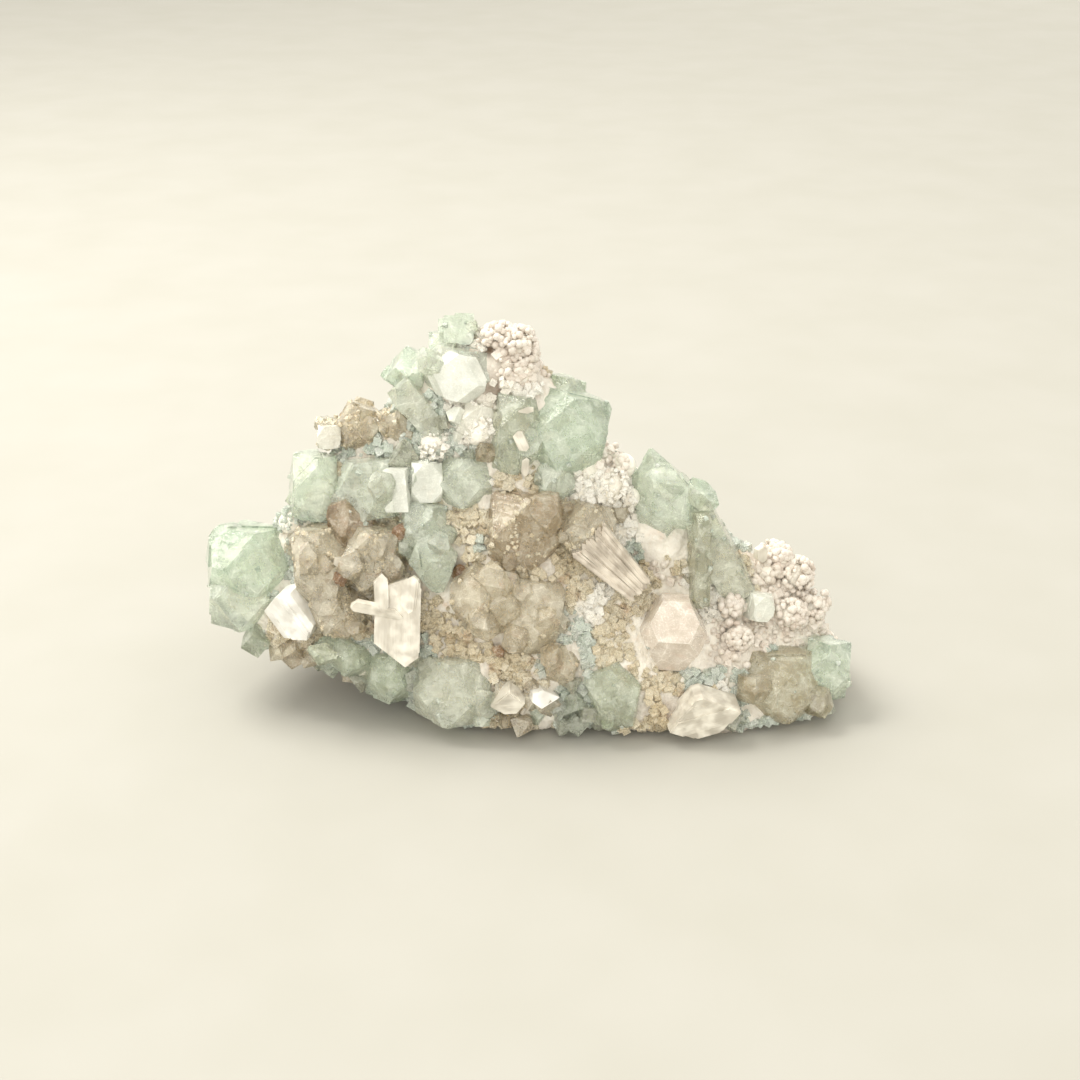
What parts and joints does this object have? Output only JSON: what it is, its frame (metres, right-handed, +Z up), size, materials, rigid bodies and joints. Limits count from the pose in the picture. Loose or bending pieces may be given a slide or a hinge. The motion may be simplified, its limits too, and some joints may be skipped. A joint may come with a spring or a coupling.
{
  "type": "apophyllite cluster",
  "caption": "Mineral specimen of pale green apophyllite crystals with pearly stilbite blades on a rough druse-covered rock matrix.",
  "frame": {"origin": "on the surface that the cluster rests on, below the middle of its bounding box", "axes": "+X along the longest extent, to the right as the picture shows it; +Y from the front to the back; +Z up"},
  "size_m": [0.0724, 0.0338, 0.0434],
  "materials": {
    "matrix": "rough cream and brown rock crusted with sparkling druse",
    "green_apophyllite": "translucent pale green crystal with vitreous to pearly faces",
    "brown_apophyllite": "translucent smoky brown crystal with included specks",
    "pearly_apophyllite": "milky pinkish white crystal with a pearly face",
    "stilbite": "pearly white striated blades"
  },
  "bodies": {
    "root": {"apophyllite_left": "green_apophyllite", "apophyllite_upper_left": "green_apophyllite", "apophyllite_upper_middle": "green_apophyllite", "apophyllite_smoky": "brown_apophyllite", "apophyllite_summit": "green_apophyllite", "apophyllite_upper_right": "green_apophyllite", "apophyllite_spire": "green_apophyllite", "apophyllite_centre": "brown_apophyllite", "apophyllite_centre_low": "brown_apophyllite", "apophyllite_middle": "green_apophyllite", "apophyllite_brown_left": "brown_apophyllite", "apophyllite_under_left": "green_apophyllite", "apophyllite_foot_left": "green_apophyllite", "apophyllite_foot_small": "green_apophyllite", "apophyllite_foot_middle": "green_apophyllite", "apophyllite_pearly": "pearly_apophyllite", "apophyllite_right": "green_apophyllite", "apophyllite_back_left": "green_apophyllite", "apophyllite_back_top": "green_apophyllite", "apophyllite_back_right": "green_apophyllite", "stilbite_left": "stilbite", "stilbite_blade": "stilbite", "stilbite_fan": "stilbite", "stilbite_foot": "stilbite", "stilbite_white": "stilbite", "stilbite_front": "stilbite", "matrix": "matrix"}
  },
  "joints": []
}
